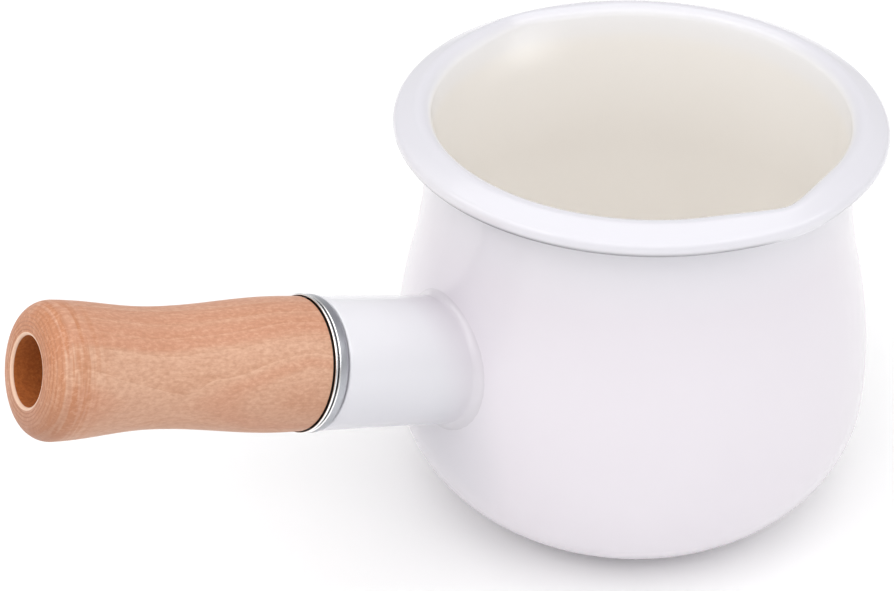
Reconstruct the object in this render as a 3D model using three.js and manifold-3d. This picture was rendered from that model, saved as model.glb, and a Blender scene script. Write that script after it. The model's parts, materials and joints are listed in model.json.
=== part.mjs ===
// Enamelled steel melting pot with a turned wooden handle.
// Millimetres, +Z up. The origin is the centre of the flat base, on the pot's own axis,
// and the handle points along -X, so the two pouring lips are at +Y and -Y.

import * as THREE from 'three';
import { mergeVertices } from 'three/addons/utils/BufferGeometryUtils.js';
import Module from 'manifold-3d';

const wasm = await Module();
wasm.setup();

// ---- driving dimensions -------------------------------------------------------------------

const WALL = 1.4;              // pressed steel with its enamel on both faces
const BELLY_RADIUS = 61.9;     // widest outside radius, low on the pot
const BASE_CORNER = 31;        // outside radius between the flat base and the side
const NECK_RADIUS = 52.2;      // narrowest outside radius, under the lip
const NECK_HEIGHT = 103;       // where the neck stands upright
const CREST_HEIGHT = 109.9;    // top of the lip
const CREST_RADIUS = 3;        // radius of the lip's crest, outside of the sheet
const RIM_RADIUS = 60;         // outside of the bead on the lip's edge
const BEAD_RADIUS = 2.15;      // the curled edge
const BEAD_DROP = 3.85;        // bead centre below the crest's top

const SPOUT_DEPTH = 3.6;       // how far each pouring lip is pressed outwards
const SPOUT_DIP = 0.9;         // how far it dips below the crest
const SPOUT_FOOT = 95;         // height where the pressed groove begins on the neck
const SPOUT_FULL = 107;        // height where it has its full depth
const SPOUT_DIP_FOOT = 100;    // height where the dip begins
const SPOUT_EDGE_SHARE = 0.15; // share of the press that reaches the bead
const SPOUT_SOFTENING = 4;     // degrees over which the two straight sides blend
const SPOUT_ANGLES = [90, 270];

const HANDLE_RISE = 21.6;      // handle axis above the horizontal, degrees
const HANDLE_CROSSING = 32.9;  // height where the handle axis meets the pot axis
const SOCKET_RADIUS = 15.5;
const SOCKET_END = 98.95;      // distances along the handle start at the pot axis
const SOCKET_FILLET = 2;       // between the socket and the pot
const SOCKET_EDGE = 0.5;       // chamfer at the socket's open end
const FIT_GAP = 0.3;           // clearance between neighbouring pieces

const FERRULE_RADIUS = 15.95;
const FERRULE_WIDTH = 3.75;
const FERRULE_SHEET = 0.8;
const FERRULE_SHOULDER = 1;    // rounding between the flange and the band
const FERRULE_GROOVE = 0.3;

const GRIP_END = 166.9;
const GRIP_SHOULDER_RADIUS = 15.35;
const GRIP_WAIST_RADIUS = 13.1;
const GRIP_BUTT_RADIUS = 14.55;
const GRIP_END_ROUND = 5;
const GRIP_BORE_RADIUS = 7.35;
const GRIP_BORE_DEPTH = 38.5;
const GRIP_BORE_CHAMFER = 0.6;
const GRIP_SHOULDER_FLAT = 4;  // straight stretch behind the ferrule
const GRIP_WAIST_FROM = 37.5;  // waist's distance from the ferrule
const TENON_RADIUS = 13.6;
const TENON_LENGTH = 7.6;
const TENON_CHAMFER = 1;

const BOLT_RADIUS = 3;         // M6
const BOLT_LENGTH = 50;
const BOLT_HEAD_RADIUS = 6;
const BOLT_HEAD_HEIGHT = 4.2;
const BOLT_HEAD_CROWN = 2.5;
const BOLT_POINT = 0.6;        // chamfer on the thread's end
const BOLT_HOLE_PLAY = 0.4;    // round the shank in the wood
const RECESS_DEPTH = 2.4;
const RECESS_LENGTH = 6.4;
const RECESS_WIDTH = 1.2;
const WASHER_THICKNESS = 1.6;
const SPRING_WASHER_RADIUS = 5.9;
const SPRING_WASHER_SPLIT = 8; // half of the gap between its cut ends, degrees
const NUT_ACROSS_FLATS = 10;
const NUT_HEIGHT = 5;
const PLATE_FACE = 90;         // outer face of the plate inside the socket
const PLATE_THICKNESS = 2;
const PLATE_SKIRT = 6;
const PLATE_BEND = 1;

const POT_SIDES = 60;
const HANDLE_SIDES = 40;
const SMALL_SIDES = 28;

// ---- helpers ------------------------------------------------------------------------------

const rad = THREE.MathUtils.degToRad;
const point = (x, y) => new THREE.Vector2(x, y);

// Points on an arc, from one angle to another in degrees, both ends included.
function arc(cx, cy, radius, from, to, steps) {
  const points = [];
  for (let i = 0; i <= steps; i += 1) {
    const angle = rad(from + ((to - from) * i) / steps);
    points.push(point(cx + radius * Math.cos(angle), cy + radius * Math.sin(angle)));
  }
  return points;
}

// Turns a closed (radius, height) outline about +Z.
function turned(outline, sides) {
  const geometry = new THREE.LatheGeometry(outline, sides);
  geometry.rotateX(Math.PI / 2);
  return geometry;
}

// The same, for an outline that has to be closed by repeating its first point.
const turnedRing = (outline, sides) => turned([...outline, outline[0].clone()], sides);

// Moves every vertex to where place(x, y, z) puts it.
function reshape(geometry, place) {
  const position = geometry.getAttribute('position');
  for (let i = 0; i < position.count; i += 1) {
    const [x, y, z] = place(position.getX(i), position.getY(i), position.getZ(i));
    position.setXYZ(i, x, y, z);
  }
  return geometry;
}

// One watertight indexed geometry with shared corners.
function welded(geometry) {
  const bare = geometry.clone();
  bare.deleteAttribute('normal');
  bare.deleteAttribute('uv');
  const shared = mergeVertices(bare, 1e-4);
  shared.computeVertexNormals();
  return shared;
}

function toSolid(geometry) {
  const shared = welded(geometry);
  return new wasm.Manifold(new wasm.Mesh({
    numProp: 3,
    vertProperties: Float32Array.from(shared.getAttribute('position').array),
    triVerts: Uint32Array.from(shared.getIndex().array),
  }));
}

function fromSolid(manifold) {
  const mesh = manifold.getMesh();
  const geometry = new THREE.BufferGeometry();
  geometry.setAttribute('position', new THREE.BufferAttribute(mesh.vertProperties, 3));
  geometry.setIndex(new THREE.BufferAttribute(mesh.triVerts, 1));
  geometry.computeVertexNormals();
  return geometry;
}

function piece(name, geometry, look) {
  const mesh = new THREE.Mesh(welded(geometry), new THREE.MeshStandardMaterial(look));
  mesh.name = name;
  return mesh;
}

const ENAMEL = { color: 0xeceaf2, roughness: 0.12, metalness: 0 };
const STEEL = { color: 0xc4c6c8, roughness: 0.22, metalness: 1 };
const ZINC_STEEL = { color: 0xb4b6b4, roughness: 0.35, metalness: 1 };
const WOOD = { color: 0xd6a283, roughness: 0.5, metalness: 0 };

// ---- pot ----------------------------------------------------------------------------------

// The side is an S of two equal arcs, from upright at the belly to upright at the neck.
const BASE_RADIUS = BELLY_RADIUS - BASE_CORNER;
const SIDE_IN = (BELLY_RADIUS - NECK_RADIUS) / 2;
const SIDE_UP = (NECK_HEIGHT - BASE_CORNER) / 2;
const SIDE_RADIUS = (SIDE_UP ** 2 + SIDE_IN ** 2) / (2 * SIDE_IN);
const SIDE_SWEEP = THREE.MathUtils.radToDeg(Math.asin(SIDE_UP / SIDE_RADIUS));

// Outside radius of the pot at a height, below the lip.
function potRadius(height) {
  if (height < BASE_CORNER) {
    return BASE_RADIUS + Math.sqrt(BASE_CORNER ** 2 - (BASE_CORNER - height) ** 2);
  }
  if (height < BASE_CORNER + SIDE_UP) {
    return BELLY_RADIUS - SIDE_RADIUS + Math.sqrt(SIDE_RADIUS ** 2 - (height - BASE_CORNER) ** 2);
  }
  if (height < NECK_HEIGHT) {
    return NECK_RADIUS + SIDE_RADIUS - Math.sqrt(SIDE_RADIUS ** 2 - (NECK_HEIGHT - height) ** 2);
  }
  return NECK_RADIUS;
}

// Base, corner, belly and neck at a distance inside the outer face, bottom to top.
function sideOutline(inset) {
  const convex = SIDE_RADIUS - inset;
  const concave = SIDE_RADIUS + inset;
  return [
    point(0, inset),
    ...arc(BASE_RADIUS, BASE_CORNER, BASE_CORNER - inset, -90, 0, 7),
    ...arc(BELLY_RADIUS - SIDE_RADIUS, BASE_CORNER, convex, 0, SIDE_SWEEP, 4).slice(1),
    ...arc(NECK_RADIUS + SIDE_RADIUS, NECK_HEIGHT, concave, 180 + SIDE_SWEEP, 180, 4).slice(1),
  ];
}

// From the neck's outer face, under the lip, round the bead, over the crest to the inner face.
function lipOutline() {
  const crestRadial = NECK_RADIUS - WALL + CREST_RADIUS;
  const crestHeight = CREST_HEIGHT - CREST_RADIUS;
  const beadRadial = RIM_RADIUS - BEAD_RADIUS;
  const beadHeight = CREST_HEIGHT - BEAD_DROP;
  const span = Math.hypot(beadRadial - crestRadial, beadHeight - crestHeight);
  const lean = Math.atan2(beadHeight - crestHeight, beadRadial - crestRadial);
  const wrap = Math.asin((CREST_RADIUS - BEAD_RADIUS) / span);
  const tangent = 90 + THREE.MathUtils.radToDeg(lean - wrap);
  const tuck = THREE.MathUtils.radToDeg(Math.acos((BEAD_RADIUS - WALL) / BEAD_RADIUS));
  return [
    ...arc(crestRadial, crestHeight, CREST_RADIUS - WALL, 180, tangent, 3),
    ...arc(beadRadial, beadHeight, BEAD_RADIUS, tangent + tuck, tangent + 360, 9),
    ...arc(crestRadial, crestHeight, CREST_RADIUS, tangent, 180, 5),
  ];
}

// Outward press of a pouring lip: two straight sides that meet the round mouth as tangents,
// with a softened point where they join.
function spoutPress(angle) {
  const mouth = NECK_RADIUS - WALL;
  const reach = Math.acos(mouth / (mouth + SPOUT_DEPTH));
  const softened = Math.hypot(angle, rad(SPOUT_SOFTENING));
  return softened < reach ? mouth / Math.cos(reach - softened) - mouth : 0;
}

function pressSpouts(geometry) {
  return reshape(geometry, (x, y, z) => {
    const radius = Math.hypot(x, y);
    if (z < SPOUT_FOOT || radius < 1) {
      return [x, y, z];
    }
    const angle = Math.atan2(y, x);
    let press = 0;
    for (const spout of SPOUT_ANGLES) {
      const off = Math.atan2(Math.sin(angle - rad(spout)), Math.cos(angle - rad(spout)));
      press += spoutPress(off);
    }
    const rise = THREE.MathUtils.smoothstep(z, SPOUT_FOOT, SPOUT_FULL);
    const across = THREE.MathUtils.clamp((radius - NECK_RADIUS) / (RIM_RADIUS - NECK_RADIUS), 0, 1);
    const moved = radius + press * rise * (1 - (1 - SPOUT_EDGE_SHARE) * across);
    const sink = THREE.MathUtils.smoothstep(z, SPOUT_DIP_FOOT, SPOUT_FULL);
    const dip = (press / SPOUT_DEPTH) * SPOUT_DIP * sink;
    return [(x * moved) / radius, (y * moved) / radius, z - dip];
  });
}

function potBody() {
  const outline = [...sideOutline(0), ...lipOutline(), ...sideOutline(WALL).reverse()];
  return piece('pot_body', pressSpouts(turned(outline, POT_SIDES)), ENAMEL);
}

// ---- socket and what is fixed inside it -----------------------------------------------------

const rise = rad(HANDLE_RISE);

// Distance along the handle where a line parallel to its axis meets the pot, a gap outside it.
function wallContact(x, y, gap) {
  let inside = 30;
  let outside = 90;
  for (let i = 0; i < 40; i += 1) {
    const along = (inside + outside) / 2;
    const reach = Math.hypot(x * Math.sin(rise) - along * Math.cos(rise), y);
    const height = HANDLE_CROSSING + x * Math.cos(rise) + along * Math.sin(rise);
    if (reach > potRadius(height) + gap) {
      outside = along;
    } else {
      inside = along;
    }
  }
  return outside;
}

// A tube whose foot spreads into a fillet and follows the pot's round side.
function handleSocket() {
  const bore = SOCKET_RADIUS - WALL;
  const foot = SOCKET_RADIUS + SOCKET_FILLET;
  const length = SOCKET_END - BELLY_RADIUS;
  const outline = [
    point(bore, 0),
    point(foot, 0),
    ...arc(foot, SOCKET_FILLET + FIT_GAP, SOCKET_FILLET, 270, 180, 4),
    point(SOCKET_RADIUS, length - SOCKET_EDGE),
    point(SOCKET_RADIUS - SOCKET_EDGE, length),
    point(bore, length),
  ];
  const tube = reshape(turnedRing(outline, HANDLE_SIDES), (x, y, z) => {
    const start = wallContact(x, y, FIT_GAP);
    return [x, y, start + (z / length) * (SOCKET_END - start)];
  });
  return piece('handle_socket', tube, ENAMEL);
}

// Flanged plate welded across the socket, bored for the bolt.
function socketPlate() {
  const outer = SOCKET_RADIUS - WALL - FIT_GAP;
  const hole = BOLT_RADIUS + FIT_GAP;
  const back = PLATE_FACE - PLATE_THICKNESS;
  const skirt = PLATE_FACE - PLATE_SKIRT;
  const outline = [
    point(hole, back),
    point(outer - WALL, back),
    point(outer - WALL, skirt),
    point(outer, skirt),
    point(outer, PLATE_FACE - PLATE_BEND),
    point(outer - PLATE_BEND, PLATE_FACE),
    point(hole, PLATE_FACE),
  ];
  return piece('socket_plate', turnedRing(outline, SMALL_SIDES), ZINC_STEEL);
}

function weldNut() {
  const corner = NUT_ACROSS_FLATS / 2 / Math.cos(rad(30));
  const hexagon = new THREE.Shape(arc(0, 0, corner, 0, 300, 5));
  hexagon.holes.push(new THREE.Path().absarc(0, 0, BOLT_RADIUS + FIT_GAP, 0, 2 * Math.PI, true));
  const geometry = new THREE.ExtrudeGeometry(hexagon, {
    depth: NUT_HEIGHT, bevelEnabled: false, curveSegments: SMALL_SIDES / 2,
  });
  geometry.translate(0, 0, PLATE_FACE - PLATE_THICKNESS - FIT_GAP - NUT_HEIGHT);
  return piece('weld_nut', geometry, ZINC_STEEL);
}

// ---- ferrule and grip -----------------------------------------------------------------------

const FERRULE_START = SOCKET_END + FIT_GAP;
const FERRULE_END = FERRULE_START + FERRULE_WIDTH;

// Polished cup: a flange against the socket, a band round the wood, a rolled edge.
function ferrule() {
  const inner = FERRULE_RADIUS - FERRULE_SHEET;
  const flange = FERRULE_START + FERRULE_SHEET;
  const roll = FERRULE_SHEET / 2;
  const corner = FERRULE_RADIUS - FERRULE_SHOULDER;
  const grooveAt = FERRULE_END - 3 * roll;
  const outline = [
    point(TENON_RADIUS + FIT_GAP, FERRULE_START),
    ...arc(corner, FERRULE_START + FERRULE_SHOULDER, FERRULE_SHOULDER, -90, 0, 3),
    point(FERRULE_RADIUS, grooveAt - FERRULE_GROOVE),
    point(FERRULE_RADIUS - FERRULE_GROOVE, grooveAt),
    ...arc(inner + roll, FERRULE_END - roll, roll, 0, 180, 4),
    point(inner, flange),
    point(TENON_RADIUS + FIT_GAP, flange),
  ];
  return piece('ferrule', turnedRing(outline, HANDLE_SIDES), STEEL);
}

// Goes from 0 to 1 between two distances along the handle, level at both.
function ease(along, from, to) {
  const share = THREE.MathUtils.clamp((along - from) / (to - from), 0, 1);
  return (1 - Math.cos(Math.PI * share)) / 2;
}

// Outside radius of the grip: full at the ferrule, waisted, full again at the butt.
function gripRadius(along) {
  const start = FERRULE_END + GRIP_SHOULDER_FLAT;
  const waist = FERRULE_END + GRIP_WAIST_FROM;
  const end = GRIP_END - GRIP_END_ROUND;
  const drop = (GRIP_SHOULDER_RADIUS - GRIP_WAIST_RADIUS) * ease(along, start, waist);
  const swell = (GRIP_BUTT_RADIUS - GRIP_WAIST_RADIUS) * ease(along, waist, end);
  return GRIP_SHOULDER_RADIUS - drop + swell;
}

// Turned wood: a tenon into the socket, a seat for the ferrule, the waisted grip, and a bore
// that holds the bolt's head deep inside.
function handleGrip() {
  const seat = FERRULE_START + FERRULE_SHEET + FIT_GAP;
  const seatRadius = FERRULE_RADIUS - FERRULE_SHEET - FIT_GAP;
  const shoulder = FERRULE_END + FIT_GAP;
  const tenonEnd = seat - TENON_LENGTH;
  const roundStart = GRIP_END - GRIP_END_ROUND;
  const boreFloor = GRIP_END - GRIP_BORE_DEPTH;
  const clearance = BOLT_RADIUS + BOLT_HOLE_PLAY;
  const steps = 10;
  const side = [];
  for (let i = 0; i < steps; i += 1) {
    const along = shoulder + ((roundStart - shoulder) * i) / steps;
    side.push(point(gripRadius(along), along));
  }
  const outline = [
    point(clearance, tenonEnd),
    point(TENON_RADIUS - TENON_CHAMFER, tenonEnd),
    point(TENON_RADIUS, tenonEnd + TENON_CHAMFER),
    point(TENON_RADIUS, seat),
    point(seatRadius, seat),
    point(seatRadius, shoulder),
    ...side,
    ...arc(GRIP_BUTT_RADIUS - GRIP_END_ROUND, roundStart, GRIP_END_ROUND, 0, 90, 6),
    point(GRIP_BORE_RADIUS + GRIP_BORE_CHAMFER, GRIP_END),
    point(GRIP_BORE_RADIUS, GRIP_END - GRIP_BORE_CHAMFER),
    point(GRIP_BORE_RADIUS, boreFloor),
    point(clearance, boreFloor),
  ];
  return piece('handle_grip', turnedRing(outline, HANDLE_SIDES), WOOD);
}

// ---- bolt and washers -----------------------------------------------------------------------

const WASHER_SEAT = GRIP_END - GRIP_BORE_DEPTH + FIT_GAP;
const SPRING_SEAT = WASHER_SEAT + WASHER_THICKNESS + FIT_GAP;
const HEAD_SEAT = SPRING_SEAT + WASHER_THICKNESS + FIT_GAP;

function flatWasher() {
  const hole = BOLT_RADIUS + FIT_GAP;
  const outline = [
    point(hole, WASHER_SEAT),
    point(BOLT_HEAD_RADIUS, WASHER_SEAT),
    point(BOLT_HEAD_RADIUS, WASHER_SEAT + WASHER_THICKNESS),
    point(hole, WASHER_SEAT + WASHER_THICKNESS),
  ];
  return piece('flat_washer', turnedRing(outline, SMALL_SIDES), ZINC_STEEL);
}

// Split ring, drawn flat as it is under a tight bolt.
function springWasher() {
  const hole = BOLT_RADIUS + FIT_GAP;
  const start = SPRING_WASHER_SPLIT;
  const end = 360 - SPRING_WASHER_SPLIT;
  const ring = new THREE.Shape([
    ...arc(0, 0, SPRING_WASHER_RADIUS, start, end, SMALL_SIDES),
    ...arc(0, 0, hole, end, start, SMALL_SIDES),
  ]);
  const sheet = { depth: WASHER_THICKNESS, bevelEnabled: false };
  const geometry = new THREE.ExtrudeGeometry(ring, sheet);
  geometry.translate(0, 0, SPRING_SEAT);
  return piece('spring_washer', geometry, ZINC_STEEL);
}

// Pan-head machine screw with a cross recess.
function handleBolt() {
  const top = HEAD_SEAT + BOLT_HEAD_HEIGHT;
  const tip = HEAD_SEAT - BOLT_LENGTH;
  const crown = BOLT_HEAD_CROWN;
  const outline = [
    point(0, tip),
    point(BOLT_RADIUS - BOLT_POINT, tip),
    point(BOLT_RADIUS, tip + BOLT_POINT),
    point(BOLT_RADIUS, HEAD_SEAT),
    point(BOLT_HEAD_RADIUS, HEAD_SEAT),
    ...arc(BOLT_HEAD_RADIUS - crown, top - crown, crown, 0, 90, 4),
    point(0, top),
  ];
  let body = toSolid(turned(outline, SMALL_SIDES));
  for (const quarter of [0, 1]) {
    const slot = new THREE.BoxGeometry(RECESS_LENGTH, RECESS_WIDTH, 2 * RECESS_DEPTH);
    slot.rotateZ((quarter * Math.PI) / 2);
    slot.translate(0, 0, top);
    body = body.subtract(toSolid(slot));
  }
  return piece('handle_bolt', fromSolid(body), ZINC_STEEL);
}

// ---- assembly -------------------------------------------------------------------------------

// Everything on the handle's axis is drawn along +Z, measured from the pot's axis, and
// this group leans that axis over to -X and lifts it to where it crosses the pot's axis.
const handle = new THREE.Group();
handle.position.set(0, 0, HANDLE_CROSSING);
handle.rotation.y = rise - Math.PI / 2;
handle.add(
  handleSocket(),
  socketPlate(),
  weldNut(),
  ferrule(),
  handleGrip(),
  flatWasher(),
  springWasher(),
  handleBolt(),
);

const meltingPot = new THREE.Group();
meltingPot.add(potBody(), handle);

export default meltingPot;
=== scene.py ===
import json
import math

import bpy
from mathutils import Matrix, Vector


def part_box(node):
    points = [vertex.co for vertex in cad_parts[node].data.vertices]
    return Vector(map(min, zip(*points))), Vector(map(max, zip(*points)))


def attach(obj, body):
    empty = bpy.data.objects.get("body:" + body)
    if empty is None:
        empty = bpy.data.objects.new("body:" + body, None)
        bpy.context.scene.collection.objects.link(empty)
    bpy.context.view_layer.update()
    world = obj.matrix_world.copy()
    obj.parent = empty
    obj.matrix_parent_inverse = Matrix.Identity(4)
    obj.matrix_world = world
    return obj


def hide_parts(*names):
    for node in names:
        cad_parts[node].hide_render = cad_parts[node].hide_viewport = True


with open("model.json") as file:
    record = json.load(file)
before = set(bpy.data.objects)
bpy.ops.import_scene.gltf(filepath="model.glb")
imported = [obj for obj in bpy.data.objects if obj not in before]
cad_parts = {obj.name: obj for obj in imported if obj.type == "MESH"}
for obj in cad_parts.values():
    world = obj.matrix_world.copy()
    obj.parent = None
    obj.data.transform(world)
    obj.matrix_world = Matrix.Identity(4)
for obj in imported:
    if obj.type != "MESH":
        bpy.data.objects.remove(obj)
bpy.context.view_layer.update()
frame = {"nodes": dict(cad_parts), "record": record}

MM = 0.001

# ---- sizes from the frame --------------------------------------------------------------------

JOINTS = {joint["name"]: joint for joint in frame["record"]["behaviour"]["joints"]}
HANDLE_AXIS = Vector(JOINTS["bolt_travel"]["axis"]).normalized()
ON_AXIS = Vector(JOINTS["bolt_turn"]["pos_m"])
CROSSING = ON_AXIS - HANDLE_AXIS * (ON_AXIS.x / HANDLE_AXIS.x)
HANDLE_SIDE = Vector((0, 1, 0))
HANDLE_UP = HANDLE_SIDE.cross(HANDLE_AXIS)
HANDLE_TURN = Matrix((HANDLE_UP, HANDLE_SIDE, HANDLE_AXIS)).transposed().to_4x4()
HANDLE_FRAME = Matrix.Translation(CROSSING) @ HANDLE_TURN


def spread(node):
    """Nearest and furthest distance along the handle, and greatest radius round its axis."""
    inverse = HANDLE_FRAME.inverted()
    local = [inverse @ vertex.co for vertex in frame["nodes"][node].data.vertices]
    lengths = [point.z for point in local]
    return min(lengths), max(lengths), max(math.hypot(point.x, point.y) for point in local)


POT_TOP_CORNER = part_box("pot_body")[1]
BELLY_RADIUS = POT_TOP_CORNER[0]
CREST = POT_TOP_CORNER[2]
SOCKET_END = spread("handle_socket")[1]
FERRULE_START, FERRULE_END, FERRULE_RADIUS = spread("ferrule")
GRIP_END = spread("handle_grip")[1]
WASHER_START, WASHER_END, WASHER_RADIUS = spread("flat_washer")
SPRING_START, SPRING_END, SPRING_RADIUS = spread("spring_washer")
BOLT_TIP, BOLT_TOP, BOLT_HEAD_RADIUS = spread("handle_bolt")
NUT_START, NUT_END, NUT_CORNER = spread("weld_nut")
PLATE_START, PLATE_END, PLATE_RADIUS = spread("socket_plate")

# ---- sizes that the design states ------------------------------------------------------------

WALL = 1.4 * MM
BASE_CORNER = 31 * MM
NECK_RADIUS = 52.2 * MM
NECK_HEIGHT = 103 * MM
RIM_RADIUS = 60 * MM
CREST_RADIUS = 3 * MM
BEAD_RADIUS = 2.15 * MM
BEAD_DROP = 3.85 * MM
SPOUT_DEPTH = 3.6 * MM  # how far each pouring lip is pressed outwards
SPOUT_DIP = 0.9 * MM  # how far it dips below the crest
SPOUT_FOOT = 95 * MM  # height where the pressed groove begins on the neck
SPOUT_DIP_FOOT = 100 * MM  # height where the dip begins
SPOUT_FULL = 107 * MM  # height where the groove has its full depth
SPOUT_EDGE_SHARE = 0.15  # share of the press that reaches the bead
SPOUT_SOFTENING = math.radians(4)  # angle over which the two straight sides blend
SOCKET_RADIUS = 15.5 * MM
FILLET = 2 * MM
GAP = 0.3 * MM
FERRULE_SHEET = 0.8 * MM
GROOVE_WIDTH = 0.55 * MM
GROOVE_DEPTH = 0.5 * MM
GRIP_WAIST_RADIUS = 13.1 * MM
GRIP_SHOULDER_RADIUS = 15.35 * MM
GRIP_BUTT_RADIUS = 14.55 * MM
GRIP_SHOULDER_FLAT = 4 * MM  # straight stretch behind the ferrule
GRIP_SHOULDER_GAP = 0.25 * MM  # between the ferrule's edge and the wood's shoulder
GRIP_WAIST_FROM = 37.5 * MM  # waist's distance from the ferrule
GRIP_END_ROUND = 5 * MM
GRIP_BORE_RADIUS = 7.35 * MM
GRIP_BORE_DEPTH = 38.5 * MM
GRIP_BORE_CHAMFER = 0.6 * MM
TENON_RADIUS = 13.6 * MM
TENON_LENGTH = 7.6 * MM
BOLT_RADIUS = 3 * MM
BOLT_HEAD_HEIGHT = 4.2 * MM
BOLT_HEAD_CROWN = 2.5 * MM
BOLT_HOLE_PLAY = 0.4 * MM
PLATE_THICKNESS = 2 * MM
THREAD_PITCH = 1 * MM
THREAD_LENGTH = 18 * MM
THREAD_DEPTH = 0.55 * MM

# The wood's figure: growth layers round a pith that lies beside the handle.
RING_SPACING = 2.97 * MM
SAPWOOD_DEPTH = 19 * RING_SPACING
RING_WANDER = 3.5 * MM
PITH_PLACE = (4 * MM, 44.8 * MM)  # across the handle, from its axis
LATHE_RING_SPACING = 0.8 * MM
UNDERSIDE = (-0.85, -0.52, 0)  # direction across the handle that is painted darkest, as shade on the underside
RUST = (0.42, 0.17, 0.075, 1)  # colour of the late wood and the threads

# Depths below the crest where the outside's enamel gives way to the lining, and that to ivory. Both
# inside tones are painted brighter than the outside's white, as painted light against the shade inside
# the pot.
LINING_FULL = 3 * MM
IVORY_FOOT, IVORY_FULL = 4.5 * MM, 11 * MM

# Where painted shade darkens the underside of the bead, standing in for the shadow under the lip, in
# degrees below the horizontal.
CREASE_FOOT, CREASE_FULL = 4, 36
CREASE_FADING, CREASE_FADED = 60, 90
CREASE_FADE = 0.85

# How much painted shade darkens the tube near the pot, and on top of that across the fillet, standing in
# for the shadow in the joint.
TUBE_SHADE = 0.07
TUBE_SHADE_LENGTH = 12 * MM
FILLET_SHADE = 0.13

POT_SIDES = 240
LIP_CREST_STEPS = 14
CHAMFER_STEPS = 6
HANDLE_SIDES = 120
SMALL_SIDES = 64
NUT_SIDES = 72

# ---- mesh helpers ----------------------------------------------------------------------------


def arc(cx, cy, radius, start, end, steps):
    """Points on an arc between two angles in degrees, both ends included."""
    points = []
    for i in range(steps + 1):
        angle = math.radians(start + (end - start) * i / steps)
        points.append((cx + radius * math.cos(angle), cy + radius * math.sin(angle)))
    return points


def smoothstep(value, low, high):
    t = min(max((value - low) / (high - low), 0), 1)
    return t * t * (3 - 2 * t)


def grid_object(name, rows, material, closed=False, sharp=35):
    """A skin over rings of points; a ring of one point is a pole, and closed joins last to first."""
    vertices = []
    rings = []
    for row in rows:
        rings.append(range(len(vertices), len(vertices) + len(row)))
        vertices.extend(row)
    faces = []
    pairs = list(zip(rings, rings[1:]))
    if closed:
        pairs.append((rings[-1], rings[0]))
    for below, above in pairs:
        count = max(len(below), len(above))
        for i in range(count):
            j = (i + 1) % count
            corners = [
                below[i % len(below)],
                below[j % len(below)],
                above[j % len(above)],
                above[i % len(above)],
            ]
            unique = list(dict.fromkeys(corners))
            if len(unique) > 2:
                faces.append(unique)
    mesh = bpy.data.meshes.new(name)
    mesh.from_pydata([tuple(vertex) for vertex in vertices], [], faces)
    mesh.validate()
    mesh.shade_smooth()
    mesh.set_sharp_from_angle(angle=math.radians(sharp))
    mesh.materials.append(material)
    obj = bpy.data.objects.new(name, mesh)
    bpy.context.scene.collection.objects.link(obj)
    return obj


def ring(radius, height, sides):
    """One ring of a turned shape round +Z, or its pole."""
    if radius < 1e-7:
        return [Vector((0, 0, height))]
    angles = [2 * math.pi * i / sides for i in range(sides)]
    return [Vector((radius * math.cos(a), radius * math.sin(a), height)) for a in angles]


def on_handle(rows):
    return [[HANDLE_FRAME @ point for point in row] for row in rows]


def turned_on_handle(name, outline, material, sides=HANDLE_SIDES, sharp=35):
    """A closed (radius, distance along) outline turned round the handle's axis."""
    rows = [ring(radius, along, sides) for radius, along in outline]
    return grid_object(name, on_handle(rows), material, closed=True, sharp=sharp)


def float_attribute(obj, name, values):
    attribute = obj.data.attributes.new(name, "FLOAT", "POINT")
    attribute.data.foreach_set("value", values)


# ---- material helpers ------------------------------------------------------------------------


def add(tree, kind, inputs=None, **settings):
    """A node with its settings, and its inputs linked or set."""
    node = tree.nodes.new(kind)
    for key, value in settings.items():
        setattr(node, key, value)
    for key, value in (inputs or {}).items():
        if isinstance(value, bpy.types.NodeSocket):
            tree.links.new(value, node.inputs[key])
        else:
            node.inputs[key].default_value = value
    return node


def new_material(name):
    material = bpy.data.materials.new(name)
    material.use_nodes = True
    tree = material.node_tree
    return material, tree, tree.nodes["Principled BSDF"]


def link(tree, output, shader, socket):
    tree.links.new(output, shader.inputs[socket])


def noise(tree, vector, scale, detail=2.0, rough=0.5, distortion=0.0):
    inputs = {
        "Vector": vector,
        "Scale": scale,
        "Detail": detail,
        "Roughness": rough,
        "Distortion": distortion,
    }
    return add(tree, "ShaderNodeTexNoise", inputs).outputs["Fac"]


def remap(tree, value, low, high, to_low, to_high):
    inputs = {
        "Value": value,
        "From Min": low,
        "From Max": high,
        "To Min": to_low,
        "To Max": to_high,
    }
    return add(tree, "ShaderNodeMapRange", inputs).outputs["Result"]


def calc(tree, operation, a, b=0.0):
    return add(tree, "ShaderNodeMath", {0: a, 1: b}, operation=operation).outputs["Value"]


def mix_colours(tree, factor, a, b):
    """Colour a turning into b; 6, 7 and 2 are the Mix node's colour sockets."""
    return add(tree, "ShaderNodeMix", {0: factor, 6: a, 7: b}, data_type="RGBA").outputs[2]


def attribute(tree, name):
    """A value that float_attribute stored on the mesh."""
    return add(tree, "ShaderNodeAttribute", attribute_name=name).outputs["Fac"]


def bump(tree, height, distance, strength=1.0, normal=None):
    inputs = {"Height": height, "Distance": distance, "Strength": strength}
    if normal is not None:
        inputs["Normal"] = normal
    return add(tree, "ShaderNodeBump", inputs).outputs["Normal"]


def handle_coordinates(tree):
    """The object's coordinates, turned so that z runs along the handle from the pot's axis."""
    place = add(tree, "ShaderNodeTexCoord").outputs["Object"]
    lean = math.atan2(-HANDLE_AXIS.x, HANDLE_AXIS.z)
    shifted = add(tree, "ShaderNodeVectorMath", {0: place, 1: tuple(CROSSING)}, operation="SUBTRACT")
    inputs = {"Vector": shifted.outputs["Vector"], "Axis": (0, 1, 0), "Angle": lean}
    return add(tree, "ShaderNodeVectorRotate", inputs, rotation_type="AXIS_ANGLE").outputs["Vector"]


def stretched(tree, vector, across, along):
    inputs = {0: vector, 1: (across, across, along)}
    return add(tree, "ShaderNodeVectorMath", inputs, operation="MULTIPLY").outputs["Vector"]


# ---- materials -------------------------------------------------------------------------------


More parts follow.
